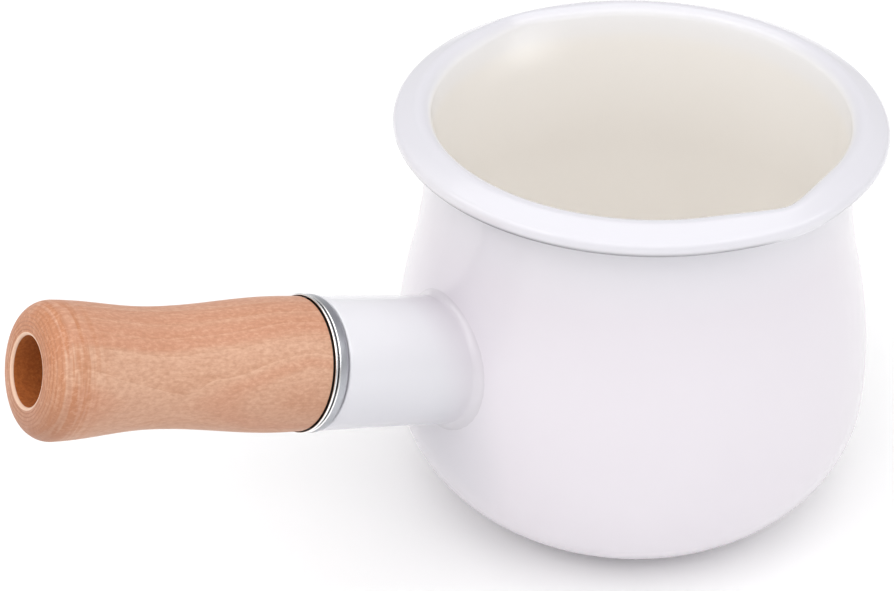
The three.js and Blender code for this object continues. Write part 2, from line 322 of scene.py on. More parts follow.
def outer_enamel(tree, place, cloud):
    """White of the side, a cooler collar under the lip, a thin coat on the lip, and the tube's own, with
    painted shade on the tube: darker underneath, lighter on top.
    """
    split = add(tree, "ShaderNodeSeparateXYZ", {"Vector": place})
    height = split.outputs["Z"]
    outward = split.outputs["X"]
    on_collar = remap(tree, height, 0.8 * NECK_HEIGHT, 0.97 * NECK_HEIGHT, 0.0, 1.0)
    past_neck = remap(tree, height, NECK_HEIGHT + MM, NECK_HEIGHT + 5 * MM, 0.0, 1.0)
    on_socket = remap(tree, outward, -0.9 * BELLY_RADIUS, -1.08 * BELLY_RADIUS, 0.0, 1.0)
    side = mix_colours(tree, cloud, (0.70, 0.66, 0.712, 1), (0.722, 0.685, 0.73, 1))
    collar = mix_colours(tree, cloud, (0.715, 0.705, 0.75, 1), (0.735, 0.725, 0.765, 1))
    thin_lip = mix_colours(tree, cloud, (0.65, 0.64, 0.685, 1), (0.67, 0.66, 0.705, 1))
    upper = mix_colours(tree, past_neck, collar, thin_lip)
    body = mix_colours(tree, on_collar, side, upper)
    # Painted shade on the tube: its colour runs from darker underneath to lighter on top, as if light
    # fell from above.
    across = add(tree, "ShaderNodeSeparateXYZ", {"Vector": handle_coordinates(tree)}).outputs["X"]
    lift = remap(tree, across, -SOCKET_RADIUS, SOCKET_RADIUS, 0.0, 1.0)
    tube = mix_colours(tree, lift, (0.565, 0.565, 0.612, 1), (0.755, 0.748, 0.78, 1))
    return mix_colours(tree, on_socket, body, tube)


def enamel_material():
    """Vitreous enamel: cool white outside, ivory inside, glassy and very slightly uneven."""
    material, tree, shader = new_material("white_enamel")
    place = add(tree, "ShaderNodeTexCoord").outputs["Object"]
    cloud = noise(tree, place, 28.0, 2.0)
    outer = outer_enamel(tree, place, cloud)
    # Painted light: the lining's white and the ivory are far brighter than the outside's white, lifting
    # the shade inside the pot; the ivory's warm tint is the enamel's own.
    lining_painted_light = (0.955, 0.95, 0.965, 1)
    ground = mix_colours(tree, attribute(tree, "lining"), outer, lining_painted_light)
    inner = mix_colours(tree, cloud, (0.96, 0.928, 0.885, 1), (0.98, 0.953, 0.92, 1))
    lined = mix_colours(tree, attribute(tree, "ivory"), ground, inner)
    # Painted shade: a dark tone under the bead and round the socket's foot stands in for the shadow in
    # those creases.
    patchy = remap(tree, cloud, 0.35, 0.65, 0.7, 0.95)
    painted_shade = calc(tree, "MULTIPLY", attribute(tree, "crease_shade"), patchy)
    crease_shade_colour = (0.10, 0.10, 0.11, 1)
    link(tree, mix_colours(tree, painted_shade, lined, crease_shade_colour), shader, "Base Color")

    mottle = noise(tree, place, 45.0, 1.0)
    link(tree, remap(tree, mottle, 0.3, 0.7, 0.17, 0.25), shader, "Roughness")
    shader.inputs["Coat Weight"].default_value = 0.35
    shader.inputs["Coat Roughness"].default_value = 0.12
    waves = noise(tree, place, 24.0, 0.5)
    uneven = bump(tree, waves, 0.3 * MM, 0.15)
    link(tree, uneven, shader, "Normal")
    link(tree, uneven, shader, "Coat Normal")
    return material


def polished_material():
    """Polished stainless steel with fine turning marks round the handle, and a painted highlight on the
    rolled edge.
    """
    material, tree, shader = new_material("polished_steel")
    place = handle_coordinates(tree)
    marks = noise(tree, stretched(tree, place, 120.0, 9000.0), 1.0, 3.0)
    smudge = noise(tree, place, 220.0, 3.0)
    dull = mix_colours(tree, smudge, (0.38, 0.39, 0.42, 1), (0.50, 0.51, 0.54, 1))
    # Painted highlight: the rolled edge and the band's corner are coloured near white, standing in for
    # the bright reflection along them.
    rolled_edge_highlight = attribute(tree, "rolled_edge_highlight")
    tone = mix_colours(tree, rolled_edge_highlight, dull, (0.93, 0.93, 0.93, 1))
    # Painted shade: the groove is coloured almost black, standing in for the shadow inside it.
    groove = attribute(tree, "groove")
    link(tree, mix_colours(tree, groove, tone, (0.03, 0.027, 0.025, 1)), shader, "Base Color")
    shader.inputs["Metallic"].default_value = 1.0
    satin = remap(tree, smudge, 0.3, 0.7, 0.31, 0.38)
    bright = calc(tree, "SUBTRACT", satin, calc(tree, "MULTIPLY", rolled_edge_highlight, 0.2))
    link(tree, bright, shader, "Roughness")
    link(tree, bump(tree, marks, 0.01 * MM, 0.4), shader, "Normal")
    return material


def plated_material():
    """Zinc-plated steel, cloudy and slightly warm."""
    material, tree, shader = new_material("plated_steel")
    place = handle_coordinates(tree)
    cloud = noise(tree, place, 420.0, 4.0, 0.6)
    grains = noise(tree, place, 2600.0, 2.0)
    tone = mix_colours(tree, cloud, (0.42, 0.42, 0.40, 1), (0.60, 0.60, 0.57, 1))
    link(tree, tone, shader, "Base Color")
    shader.inputs["Metallic"].default_value = 1.0
    link(tree, remap(tree, cloud, 0.3, 0.7, 0.28, 0.45), shader, "Roughness")
    link(tree, bump(tree, grains, 0.015 * MM, 0.4), shader, "Normal")
    return material


def growth_layers(tree, place):
    """Distance from the pith, wandering a little: the wood's growth layers."""
    split = add(tree, "ShaderNodeSeparateXYZ", {"Vector": place})
    pith = {
        "X": calc(tree, "SUBTRACT", split.outputs["X"], PITH_PLACE[0]),
        "Y": calc(tree, "SUBTRACT", split.outputs["Y"], PITH_PLACE[1]),
    }
    from_pith = add(tree, "ShaderNodeCombineXYZ", pith).outputs["Vector"]
    distance = add(tree, "ShaderNodeVectorMath", {0: from_pith}, operation="LENGTH")
    warp = noise(tree, stretched(tree, place, 70.0, 30.0), 1.0, 2.0, 0.5)
    return calc(tree, "ADD", distance.outputs["Value"], calc(tree, "MULTIPLY", warp, RING_WANDER))


def wood_figure(tree, place, along, cloud):
    """Broad layers of tone, with a thin darker line where each layer stops."""
    depth = growth_layers(tree, place)
    layer = {"X": calc(tree, "MULTIPLY", depth, 420.0), "Z": calc(tree, "MULTIPLY", along, 9.0)}
    bands = noise(tree, add(tree, "ShaderNodeCombineXYZ", layer).outputs["Vector"], 1.0, 1.0)
    sapwood = remap(tree, depth, SAPWOOD_DEPTH - MM, SAPWOOD_DEPTH + 0.6 * MM, -0.14, 0.1)
    tone = calc(tree, "SUBTRACT", bands, sapwood)
    phase = calc(tree, "FRACT", calc(tree, "DIVIDE", depth, RING_SPACING))
    late = calc(tree, "POWER", phase, 5.0)
    early = calc(tree, "POWER", calc(tree, "SUBTRACT", 1.0, phase), 9.0)
    pinkish = (0.60, 0.345, 0.232, 1)
    orange = (0.56, 0.275, 0.172, 1)
    ground = mix_colours(tree, remap(tree, tone, 0.38, 0.62, 0.0, 1.0), pinkish, orange)
    patchy = remap(tree, cloud, 0.4, 0.65, 0.02, 0.34)
    lined = mix_colours(tree, calc(tree, "MULTIPLY", late, patchy), ground, RUST)
    return mix_colours(tree, calc(tree, "MULTIPLY", early, 0.26), lined, (0.72, 0.46, 0.32, 1))


def lathe_rings(tree, place, cloud):
    """Strength of the rings that the lathe left round the bore."""
    around = add(tree, "ShaderNodeVectorMath", {0: place, 1: (1, 1, 0)}, operation="MULTIPLY")
    length = add(tree, "ShaderNodeVectorMath", {0: around.outputs["Vector"]}, operation="LENGTH")
    radius = length.outputs["Value"]
    turns = calc(tree, "MULTIPLY", radius, 2 * math.pi / LATHE_RING_SPACING)
    swing = calc(tree, "MULTIPLY", cloud, 8.0)
    wave = calc(tree, "SINE", calc(tree, "ADD", turns, swing))
    near = remap(tree, radius, GRIP_BORE_RADIUS + MM, 13.5 * MM, 1.0, 0.3)
    rings = calc(tree, "MULTIPLY", remap(tree, wave, 0.0, 1.0, 0.0, 0.95), attribute(tree, "end_grain"))
    return calc(tree, "MULTIPLY", rings, near)


def open_grain(tree, place, peel, turned):
    """Fine pores, a little longer along the handle, and thin threads between them."""
    dark = remap(tree, peel, 0.5, 0.72, 0.0, 0.44)
    grained = mix_colours(tree, dark, turned, (0.40, 0.19, 0.105, 1))
    light = remap(tree, peel, 0.5, 0.3, 0.0, 0.32)
    lifted = mix_colours(tree, light, grained, (0.80, 0.52, 0.37, 1))
    threads = noise(tree, stretched(tree, place, 1500.0, 130.0), 1.0, 3.0, 0.6)
    return mix_colours(tree, remap(tree, threads, 0.52, 0.75, 0.0, 0.22), lifted, RUST)


def shaded_underside(tree, place, along, grained):
    """Painted shade: the underside is darker, most of all at the butt, standing in for the shade that
    falls there.
    """
    sideways = {0: place, 1: UNDERSIDE}
    low = add(tree, "ShaderNodeVectorMath", sideways, operation="DOT_PRODUCT").outputs["Value"]
    deepest = remap(tree, along, GRIP_END - 7 * MM, GRIP_END - 2 * MM, 0.36, 0.75)
    shade = calc(tree, "MULTIPLY", remap(tree, low, 3 * MM, 14 * MM, 0.0, 1.0), deepest)
    return mix_colours(tree, shade, grained, (0.33, 0.145, 0.083, 1))


def bored_wood(tree, place, bore, outside):
    """A pale chamfer, partly a painted highlight round the hole's rim, a bore coloured dark and darkest
    near its mouth, and painted shade in the gap at the ferrule.
    """
    # Pale chamfer round the hole: partly the cut wood's own paler tone, partly a painted highlight along
    # the rim.
    pale_chamfer_highlight = calc(tree, "MULTIPLY", attribute(tree, "pale_chamfer_highlight"), 0.75)
    cut = mix_colours(tree, pale_chamfer_highlight, outside, (0.86, 0.62, 0.47, 1))
    speck = remap(tree, noise(tree, place, 1500.0, 3.0, 0.7), 0.25, 0.75, 0.0, 1.0)
    # The bore is coloured dark brown, darker near its mouth than deeper in.
    mouth = mix_colours(tree, speck, (0.27, 0.066, 0.013, 1), (0.48, 0.145, 0.032, 1))
    inward = mix_colours(tree, speck, (0.42, 0.11, 0.019, 1), (0.76, 0.28, 0.06, 1))
    bored = mix_colours(tree, attribute(tree, "deep"), mouth, inward)
    drilled = mix_colours(tree, bore, cut, bored)
    # Painted shade in the gap between the wood's shoulder and the ferrule.
    return mix_colours(tree, attribute(tree, "gap_shade"), drilled, (0.025, 0.018, 0.014, 1))


def wood_material():
    """Reddish hardwood: layered figure, a fine open grain, turned rings and a dark bore."""
    material, tree, shader = new_material("turned_wood")
    place = handle_coordinates(tree)
    along = add(tree, "ShaderNodeSeparateXYZ", {"Vector": place}).outputs["Z"]
    cloud = noise(tree, stretched(tree, place, 110.0, 55.0), 1.0, 3.0, 0.6)
    peel = noise(tree, stretched(tree, place, 1500.0, 800.0), 1.0, 3.0, 0.65)
    bore = attribute(tree, "bore")

    # Stripes where the layers run out over the rounded end.
    stripes = noise(tree, stretched(tree, place, 60.0, 850.0), 1.0, 2.0, 0.5, 0.4)
    strength = remap(tree, stripes, 0.45, 0.56, 0.0, 0.62)
    stripe = calc(tree, "MULTIPLY", strength, attribute(tree, "end_grain"))
    figured = wood_figure(tree, place, along, cloud)
    striped = mix_colours(tree, stripe, figured, (0.47, 0.17, 0.065, 1))

    lathe = lathe_rings(tree, place, cloud)
    turned = mix_colours(tree, lathe, striped, (0.38, 0.145, 0.068, 1))
    grained = open_grain(tree, place, peel, turned)
    # Painted shade on the underside of the grip and at its butt.
    underside_shade = shaded_underside(tree, place, along, grained)
    link(tree, bored_wood(tree, place, bore, underside_shade), shader, "Base Color")

    sheen = remap(tree, cloud, 0.3, 0.7, 0.42, 0.56)
    link(tree, calc(tree, "MAXIMUM", sheen, calc(tree, "MULTIPLY", bore, 0.9)), shader, "Roughness")
    shader.inputs["Specular IOR Level"].default_value = 0.3
    grain = bump(tree, peel, 0.09 * MM, 0.6)
    link(tree, bump(tree, lathe, -0.08 * MM, 0.6, grain), shader, "Normal")
    return material


def floor_material():
    """Plain matt white studio board."""
    material, tree, shader = new_material("floor")
    place = add(tree, "ShaderNodeTexCoord").outputs["Object"]
    fibre = noise(tree, place, 60.0, 3.0)
    tone = mix_colours(tree, fibre, (0.94, 0.94, 0.94, 1), (0.96, 0.96, 0.96, 1))
    link(tree, tone, shader, "Base Color")
    shader.inputs["Roughness"].default_value = 0.9
    shader.inputs["Specular IOR Level"].default_value = 0.1
    return material


ENAMEL = enamel_material()
POLISHED = polished_material()
PLATED = plated_material()
WOOD = wood_material()

# ---- pot -------------------------------------------------------------------------------------

BASE_RADIUS = BELLY_RADIUS - BASE_CORNER
SIDE_IN = (BELLY_RADIUS - NECK_RADIUS) / 2
SIDE_UP = (NECK_HEIGHT - BASE_CORNER) / 2
SIDE_RADIUS = (SIDE_UP**2 + SIDE_IN**2) / (2 * SIDE_IN)
SIDE_SWEEP = math.degrees(math.asin(SIDE_UP / SIDE_RADIUS))


def pot_radius(height):
    """Outside radius of the pot at a height, below the lip."""
    if height < BASE_CORNER:
        return BASE_RADIUS + math.sqrt(max(BASE_CORNER**2 - (BASE_CORNER - height) ** 2, 0))
    if height < BASE_CORNER + SIDE_UP:
        return BELLY_RADIUS - SIDE_RADIUS + math.sqrt(SIDE_RADIUS**2 - (height - BASE_CORNER) ** 2)
    if height < NECK_HEIGHT:
        return NECK_RADIUS + SIDE_RADIUS - math.sqrt(SIDE_RADIUS**2 - (NECK_HEIGHT - height) ** 2)
    return NECK_RADIUS


def side_outline(inset):
    """Base, corner, belly and neck at a distance inside the outer face, bottom to top."""
    base = [(BASE_RADIUS * i / 6, inset) for i in range(6)]
    corner = arc(BASE_RADIUS, BASE_CORNER, BASE_CORNER - inset, -90, 0, 18)
    belly = arc(BELLY_RADIUS - SIDE_RADIUS, BASE_CORNER, SIDE_RADIUS - inset, 0, SIDE_SWEEP, 14)
    neck = arc(
        NECK_RADIUS + SIDE_RADIUS, NECK_HEIGHT, SIDE_RADIUS + inset, 180 + SIDE_SWEEP, 180, 18
    )
    return base + corner + belly[1:] + neck[1:]


def lip_outline():
    """From the neck's outer face, under the lip, round the bead and over the crest."""
    crest_radial = NECK_RADIUS - WALL + CREST_RADIUS
    crest_height = CREST - CREST_RADIUS
    bead_radial = RIM_RADIUS - BEAD_RADIUS
    bead_height = CREST - BEAD_DROP
    span = math.hypot(bead_radial - crest_radial, bead_height - crest_height)
    lean = math.atan2(bead_height - crest_height, bead_radial - crest_radial)
    wrap = math.asin((CREST_RADIUS - BEAD_RADIUS) / span)
    tangent = 90 + math.degrees(lean - wrap)
    tuck = math.degrees(math.acos((BEAD_RADIUS - WALL) / BEAD_RADIUS))
    return (
        arc(crest_radial, crest_height, CREST_RADIUS - WALL, 180, tangent, 8)
        + arc(bead_radial, bead_height, BEAD_RADIUS, tangent + tuck, tangent + 360, 26)
        + arc(crest_radial, crest_height, CREST_RADIUS, tangent, 180, LIP_CREST_STEPS)
    )


def spout_press(angle):
    """Outward press of a pouring lip at an angle from its middle: two tangents, softly joined."""
    mouth = NECK_RADIUS - WALL
    reach = math.acos(mouth / (mouth + SPOUT_DEPTH))
    softened = math.hypot(angle, SPOUT_SOFTENING)
    return mouth / math.cos(reach - softened) - mouth if softened < reach else 0.0


def press_spouts(point):
    """Moves a point of the turned pot to where pressing the two lips takes it."""
    radius = math.hypot(point.x, point.y)
    if point.z < SPOUT_FOOT or radius < MM:
        return point
    off = math.atan2(abs(point.x), abs(point.y))
    press = spout_press(off)
    rise = smoothstep(point.z, SPOUT_FOOT, SPOUT_FULL)
    across = min(max((radius - NECK_RADIUS) / (RIM_RADIUS - NECK_RADIUS), 0), 1)
    scale = 1 + press * rise * (1 - (1 - SPOUT_EDGE_SHARE) * across) / radius
    dip = press / SPOUT_DEPTH * SPOUT_DIP * smoothstep(point.z, SPOUT_DIP_FOOT, SPOUT_FULL)
    return Vector((point.x * scale, point.y * scale, point.z - dip))


def bead_underside_shade(radius, height):
    """Strength of the painted shade under the bead at a point of the outline, from 0 to 1, by how far
    round to the bead's underside it is.
    """
    across = radius - (RIM_RADIUS - BEAD_RADIUS)
    down = CREST - BEAD_DROP - height
    if abs(math.hypot(across, down) - BEAD_RADIUS) > 0.1 * MM:
        return 0.0
    turn = math.degrees(math.atan2(down, across))
    fading = CREASE_FADE * smoothstep(turn, CREASE_FADING, CREASE_FADED)
    return smoothstep(turn, CREASE_FOOT, CREASE_FULL) * (1 - fading)


def make_pot():
    """One skin: up the outside, round the bead, over the crest and down the inside."""
    outer = side_outline(0) + lip_outline()
    inner = list(reversed(side_outline(WALL)))

    def inward(index, radius):
        past_crest = radius < NECK_RADIUS - WALL + CREST_RADIUS
        return index >= len(outer) or (index >= len(outer) - LIP_CREST_STEPS and past_crest)

    rows = []
    lining = []
    ivory = []
    crease_shade = []
    for index, (radius, height) in enumerate(outer + inner):
        row = [press_spouts(point) for point in ring(radius, height, POT_SIDES)]
        rows.append(row)
        depth = CREST - height if inward(index, radius) else 0.0
        lining.extend([smoothstep(depth, 0.0, LINING_FULL)] * len(row))
        ivory.extend([smoothstep(depth, IVORY_FOOT, IVORY_FULL)] * len(row))
        # Painted shade under the bead, faded out where the pouring lips are pressed.
        under = bead_underside_shade(radius, height)
        for point in row:
            press = spout_press(math.atan2(abs(point.x), abs(point.y)))
            crease_shade.append(under * (1 - smoothstep(press, 0.1 * SPOUT_DEPTH, 0.6 * SPOUT_DEPTH)))
    pot = grid_object("pot_enamelled_body", rows, ENAMEL, sharp=60)
    float_attribute(pot, "lining", lining)
    float_attribute(pot, "ivory", ivory)
    float_attribute(pot, "crease_shade", crease_shade)
    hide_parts("pot_body")
    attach(pot, "pan")


# ---- socket ----------------------------------------------------------------------------------


def wall_contact(x, y, sink):
    """Distance along the handle where a line beside its axis is sunk that far into the pot."""
    low, high = 30 * MM, 90 * MM
    halvings = 40
    for _ in range(halvings):
        middle = (low + high) / 2
        point = HANDLE_FRAME @ Vector((x, y, middle))
        if math.hypot(point.x, point.y) > pot_radius(point.z) - sink:
            high = middle
        else:
            low = middle
    return high


def make_socket():
    """Tube whose fillet runs out into the pot's side, with painted shade near the joint."""
    bore = SOCKET_RADIUS - WALL
    sink = 0.02 * MM  # keeps the foot just inside the pot's outer face
    root = 0.5 * MM
    edge = 0.5 * MM
    fillet = [
        (SOCKET_RADIUS + FILLET - u, FILLET - v)
        for u, v in arc(0, 0, FILLET, 90, 0, 12)
    ]
    skirt = SOCKET_RADIUS + FILLET
    length = SOCKET_END - BELLY_RADIUS
    tube = [(SOCKET_RADIUS, FILLET + (length - edge - FILLET) * i / 20) for i in range(1, 21)]
    mouth = arc(SOCKET_RADIUS - edge, length - edge, edge, 15, 90, 6)
    outline = (
        [(bore, -root), (skirt, -root), (skirt, -sink)]
        + fillet
        + tube
        + mouth
        + [(bore, length)]
    )
    rows = []
    crease_shade = []
    for radius, lift in outline:
        # Painted shade: the tube darkens towards the pot, and most of all across the fillet.
        rounding = min(max((skirt - radius) / FILLET, 0), 1)
        fading = 1 - smoothstep(lift, FILLET, FILLET + TUBE_SHADE_LENGTH)
        shade = TUBE_SHADE * fading + FILLET_SHADE * (1 - rounding) ** 1.5
        crease_shade.extend([shade] * HANDLE_SIDES)
        row = []
        for point in ring(radius, 0, HANDLE_SIDES):
            foot = wall_contact(point.x, point.y, sink)
            along = foot + lift * (SOCKET_END - foot) / length if lift > FILLET else foot + lift
            row.append(HANDLE_FRAME @ Vector((point.x, point.y, along)))
        rows.append(row)
    socket = grid_object("handle_socket_tube", rows, ENAMEL, closed=True, sharp=50)
    float_attribute(socket, "crease_shade", crease_shade)
    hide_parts("handle_socket")
    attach(socket, "pan")


# ---- ferrule and grip ------------------------------------------------------------------------


def make_ferrule():
    """Polished cup with a softened shoulder, a band, a groove and a rolled edge, with painted shade in
    the groove and a painted highlight on the rolled edge.
    """
    inner = FERRULE_RADIUS - FERRULE_SHEET
    roll = 0.26 * MM
    shoulder = 1 * MM
    corner = 0.3 * MM
    band = FERRULE_RADIUS - 0.1 * MM
    band_end = FERRULE_END - 2 * roll - GROOVE_WIDTH
    groove = band - GROOVE_DEPTH
    outline = (
        [(TENON_RADIUS + GAP, FERRULE_START)]
        + arc(band - shoulder, FERRULE_START + shoulder, shoulder, -90, 0, 10)
        + arc(band - corner, band_end - corner, corner, 0, 90, 8)
        + [(groove, band_end), (groove, band_end + GROOVE_WIDTH)]
        + arc(FERRULE_RADIUS - roll, FERRULE_END - roll, roll, -90, 180, 20)
        + [(inner, FERRULE_START + FERRULE_SHEET), (TENON_RADIUS + GAP, FERRULE_START + FERRULE_SHEET)]
    )
    ferrule = turned_on_handle("ferrule_ring", outline, POLISHED, sharp=40)
    # Painted shade: rows inside the groove.
    groove_shade_rows = [float(radius < band - corner and along > band_end - MM) for radius, along in outline]
    float_attribute(ferrule, "groove", [value for value in groove_shade_rows for _ in range(HANDLE_SIDES)])
    # Painted highlight: rows on the rolled edge and the band's corner.
    on_highlighted_edge = [float(along > band_end - corner and radius >= band - corner) for radius, along in outline]
    float_attribute(ferrule, "rolled_edge_highlight", [value for value in on_highlighted_edge for _ in range(HANDLE_SIDES)])
    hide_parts("ferrule")
    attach(ferrule, "pan")


def grip_radius(along):
    """Outside radius of the grip: full at the ferrule, waisted, full again at the butt."""
    start = FERRULE_END + GRIP_SHOULDER_FLAT
    waist = FERRULE_END + GRIP_WAIST_FROM
    end = GRIP_END - GRIP_END_ROUND
    ease_in = (1 - math.cos(math.pi * min(max((along - start) / (waist - start), 0), 1))) / 2
    ease_out = (1 - math.cos(math.pi * min(max((along - waist) / (end - waist), 0), 1))) / 2
    drop = (GRIP_SHOULDER_RADIUS - GRIP_WAIST_RADIUS) * ease_in
    swell = (GRIP_BUTT_RADIUS - GRIP_WAIST_RADIUS) * ease_out
    return GRIP_SHOULDER_RADIUS - drop + swell


def make_grip():
    """Turned grip with its tenon, ferrule seat, rounded butt and counterbore."""
    seat = FERRULE_START + FERRULE_SHEET + GAP
    seat_radius = FERRULE_RADIUS - FERRULE_SHEET - GAP
    shoulder = FERRULE_END + GRIP_SHOULDER_GAP
    shoulder_round = 0.3 * MM
    tenon_end = seat - TENON_LENGTH
    round_start = GRIP_END - GRIP_END_ROUND
    bore_floor = GRIP_END - GRIP_BORE_DEPTH
    clearance = BOLT_RADIUS + BOLT_HOLE_PLAY
    chamfer = GRIP_BORE_CHAMFER
    steps = 60
    side = []
    for i in range(1, steps):
        along = shoulder + (round_start - shoulder) * i / steps
        side.append((grip_radius(along), along))
    outline = (
        [(clearance, tenon_end), (TENON_RADIUS - MM, tenon_end), (TENON_RADIUS, tenon_end + MM)]
        + [(TENON_RADIUS, seat), (seat_radius, seat), (seat_radius, shoulder)]
        + arc(GRIP_SHOULDER_RADIUS - shoulder_round, shoulder + shoulder_round, shoulder_round, -90, 0, 4)
        + side
        + arc(GRIP_BUTT_RADIUS - GRIP_END_ROUND, round_start, GRIP_END_ROUND, 0, 90, 20)
        + [(GRIP_BORE_RADIUS + chamfer + 0.05 * MM, GRIP_END)]
        + arc(GRIP_BORE_RADIUS + chamfer, GRIP_END - chamfer, chamfer, 90, 180, CHAMFER_STEPS)
    )
    bore_length = GRIP_BORE_DEPTH - chamfer
    bore_rows = [(GRIP_BORE_RADIUS, bore_floor + bore_length * (1 - i / 16)) for i in range(1, 16)]
    floor_rows = [(GRIP_BORE_RADIUS, bore_floor), (clearance, bore_floor)]
    whole = outline + bore_rows + floor_rows
    grip = turned_on_handle("wooden_grip", whole, WOOD, sharp=50)
    end_grain = []
    pale_chamfer_highlight = []
    bore = []
    deep = []
    gap_shade = []
    for index, (radius, along) in enumerate(whole):
        run_out = smoothstep(along, GRIP_END - 13 * MM, GRIP_END - 4 * MM)
        on_chamfer = len(outline) - CHAMFER_STEPS - 1 <= index < len(outline)
        in_bore = index >= len(outline) - 1
        end_grain.extend([run_out] * HANDLE_SIDES)
        # Painted shade: rows in the gap between the wood's shoulder and the ferrule.
        in_shaded_gap = along <= shoulder + 0.1 * MM and radius < GRIP_SHOULDER_RADIUS - 0.1 * MM
        gap_shade.extend([float(in_shaded_gap)] * HANDLE_SIDES)
        pale_chamfer_highlight.extend([float(on_chamfer)] * HANDLE_SIDES)
        bore.extend([float(in_bore)] * HANDLE_SIDES)
        deep.extend([smoothstep(GRIP_END - along, 2 * MM, 16 * MM)] * HANDLE_SIDES)
    float_attribute(grip, "end_grain", end_grain)
    float_attribute(grip, "pale_chamfer_highlight", pale_chamfer_highlight)
    float_attribute(grip, "bore", bore)
    float_attribute(grip, "deep", deep)
    float_attribute(grip, "gap_shade", gap_shade)
    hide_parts("handle_grip")
    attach(grip, "pan")


# ---- hidden fastenings -----------------------------------------------------------------------


def make_flat_washer():
    """Plain washer with softened edges."""
    hole = BOLT_RADIUS + GAP
    soft = 0.2 * MM
    outline = (
        [(hole, WASHER_START), (WASHER_RADIUS - soft, WASHER_START)]
        + [(WASHER_RADIUS, WASHER_START + soft), (WASHER_RADIUS, WASHER_END - soft)]
        + [(WASHER_RADIUS - soft, WASHER_END), (hole + soft, WASHER_END), (hole, WASHER_END - soft)]
    )
    washer = turned_on_handle("flat_washer_plated", outline, PLATED, SMALL_SIDES)
    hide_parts("flat_washer")
    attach(washer, "washers")


def make_spring_washer():
    """Split ring pressed flat, with its two cut ends a little apart."""
    hole = BOLT_RADIUS + GAP
    split = math.radians(8)
    soft = 0.2 * MM
    section = [
        (hole + soft, SPRING_START),
        (SPRING_RADIUS - soft, SPRING_START),
        (SPRING_RADIUS, SPRING_START + soft),
        (SPRING_RADIUS, SPRING_END - soft),
        (SPRING_RADIUS - soft, SPRING_END),
        (hole + soft, SPRING_END),
        (hole, SPRING_END - soft),
        (hole, SPRING_START + soft),
    ]
    middle = ((hole + SPRING_RADIUS) / 2, (SPRING_START + SPRING_END) / 2)
    rows = []
    for i in range(SMALL_SIDES + 1):
        angle = split + (2 * math.pi - 2 * split) * i / SMALL_SIDES
        turn = Matrix.Rotation(angle, 4, "Z")
        rows.append([HANDLE_FRAME @ turn @ Vector((radius, 0, along)) for radius, along in section])
    ends = []
    for angle in (split, 2 * math.pi - split):
        turn = Matrix.Rotation(angle, 4, "Z")
        ends.append([HANDLE_FRAME @ turn @ Vector((middle[0], 0, middle[1]))])
    washer = grid_object("spring_washer_split", [ends[0]] + rows + [ends[1]], PLATED, sharp=30)
    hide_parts("spring_washer")
    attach(washer, "washers")


def thread_rows(start, end, major, pitch, depth, steps_per_turn=8):
    """Rings whose radius follows a helical V thread, fading out at both ends."""
    rows = []
    count = round((end - start) / pitch * steps_per_turn)
    for i in range(count + 1):
        along = start + (end - start) * i / count
        fade = smoothstep(along, start, start + pitch) * smoothstep(-along, -end, -end + pitch)
        row = []
        for point in ring(1.0, along, SMALL_SIDES):
            turn = math.atan2(point.y, point.x) / (2 * math.pi)
            phase = (along / pitch - turn) % 1
            groove = abs(2 * phase - 1)
            radius = major - depth * groove * fade
            row.append(Vector((point.x * radius, point.y * radius, along)))
        rows.append(row)
    return rows


def make_bolt():
    """Pan-head machine screw with a rolled thread and a cross recess."""
    seat = BOLT_TOP - BOLT_HEAD_HEIGHT
    crown = BOLT_HEAD_CROWN
    soft = 0.2 * MM
    thread_end = BOLT_TIP + THREAD_LENGTH
    outline = (
        [(BOLT_RADIUS, thread_end + 0.5 * MM), (BOLT_RADIUS, seat)]
        + [(BOLT_HEAD_RADIUS - soft, seat), (BOLT_HEAD_RADIUS, seat + soft)]
        + arc(BOLT_HEAD_RADIUS - crown, BOLT_TOP - crown, crown, 0, 90, 10)
        + [(0, BOLT_TOP)]
    )
    rows = [[Vector((0, 0, BOLT_TIP))], ring(BOLT_RADIUS - 0.6 * MM, BOLT_TIP, SMALL_SIDES)]
    rows += thread_rows(BOLT_TIP + 0.5 * MM, thread_end, BOLT_RADIUS, THREAD_PITCH, THREAD_DEPTH)
    rows += [ring(radius, along, SMALL_SIDES) for radius, along in outline]
    bolt = grid_object("pan_head_bolt", on_handle(rows), PLATED, sharp=30)
    cut_cross(bolt)
    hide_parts("handle_bolt")
    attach(bolt, "bolt")


def cut_cross(bolt):
    """Cuts a tapered cross recess into the bolt's head."""
    depth = 2.4 * MM
    arm = 3.2 * MM
    half_width = 0.6 * MM
    foot_share = 0.45
    top_share = 1.05
    quarters = ((1, 1), (-1, 1), (-1, -1), (1, -1))
    for across, along in ((arm, half_width), (half_width, arm)):
        rows = []
        for reach, height in ((foot_share, BOLT_TOP - depth), (top_share, BOLT_TOP + MM)):
            x = across * (reach if across == arm else 1)
            y = along * (reach if along == arm else 1)
            rows.append([Vector((sx * x, sy * y, height)) for sx, sy in quarters])
        caps = [[Vector((0, 0, BOLT_TOP - depth))], [Vector((0, 0, BOLT_TOP + MM))]]
        cutter = grid_object("cutter", on_handle([caps[0]] + rows + [caps[1]]), PLATED)
        cut = bolt.modifiers.new("cross", "BOOLEAN")
        cut.operation = "DIFFERENCE"
        cut.object = cutter
        with bpy.context.temp_override(object=bolt, active_object=bolt):
            bpy.ops.object.modifier_apply(modifier=cut.name)
        bpy.data.objects.remove(cutter)


